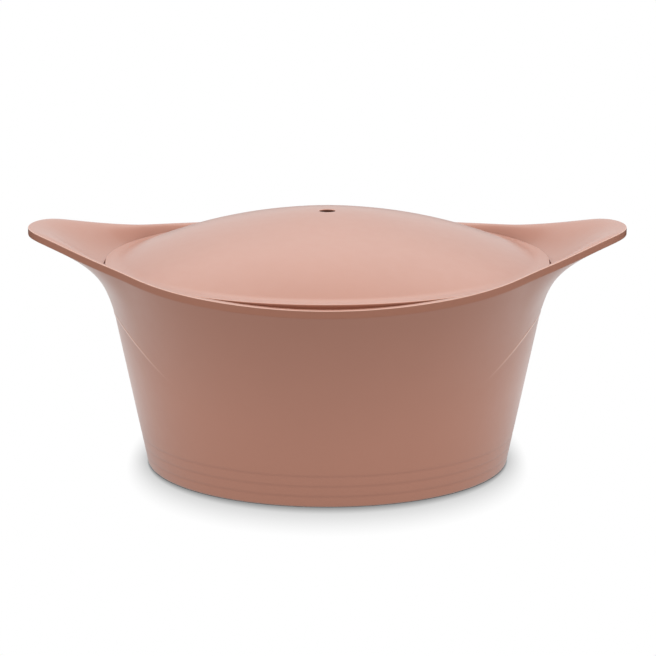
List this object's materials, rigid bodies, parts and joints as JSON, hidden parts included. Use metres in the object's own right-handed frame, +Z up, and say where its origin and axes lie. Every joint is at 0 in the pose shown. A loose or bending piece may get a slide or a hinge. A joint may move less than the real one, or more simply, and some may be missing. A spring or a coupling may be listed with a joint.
{
  "type": "casserole pot",
  "caption": "Round cast casserole pot whose flared rim is drawn out into ear handles, with a nested, knobless dome lid that has a steam vent and lifts off.",
  "frame": {"origin": "middle of the base, on the surface that the pot stands on", "axes": "+X through the right ear handle, +Y towards the back, +Z up along the axis of pot and lid"},
  "size_m": [0.32, 0.2488, 0.1349],
  "materials": {
    "pot_coating": "cast aluminium with a satin terracotta-pink ceramic coating inside and out",
    "lid_coating": "cast aluminium with a satin terracotta-pink ceramic coating",
    "base_steel": "turned ferritic stainless steel, fine circular brush marks"
  },
  "bodies": {
    "pot": {"pot_body": "pot_coating", "induction_plate": "base_steel"},
    "lid": {"lid": "lid_coating"}
  },
  "joints": [
    {"name": "lid_lift", "type": "slide", "parent": "pot", "child": "lid", "axis": [0, 0, 1], "range_m": [0, 0.15]}
  ]
}
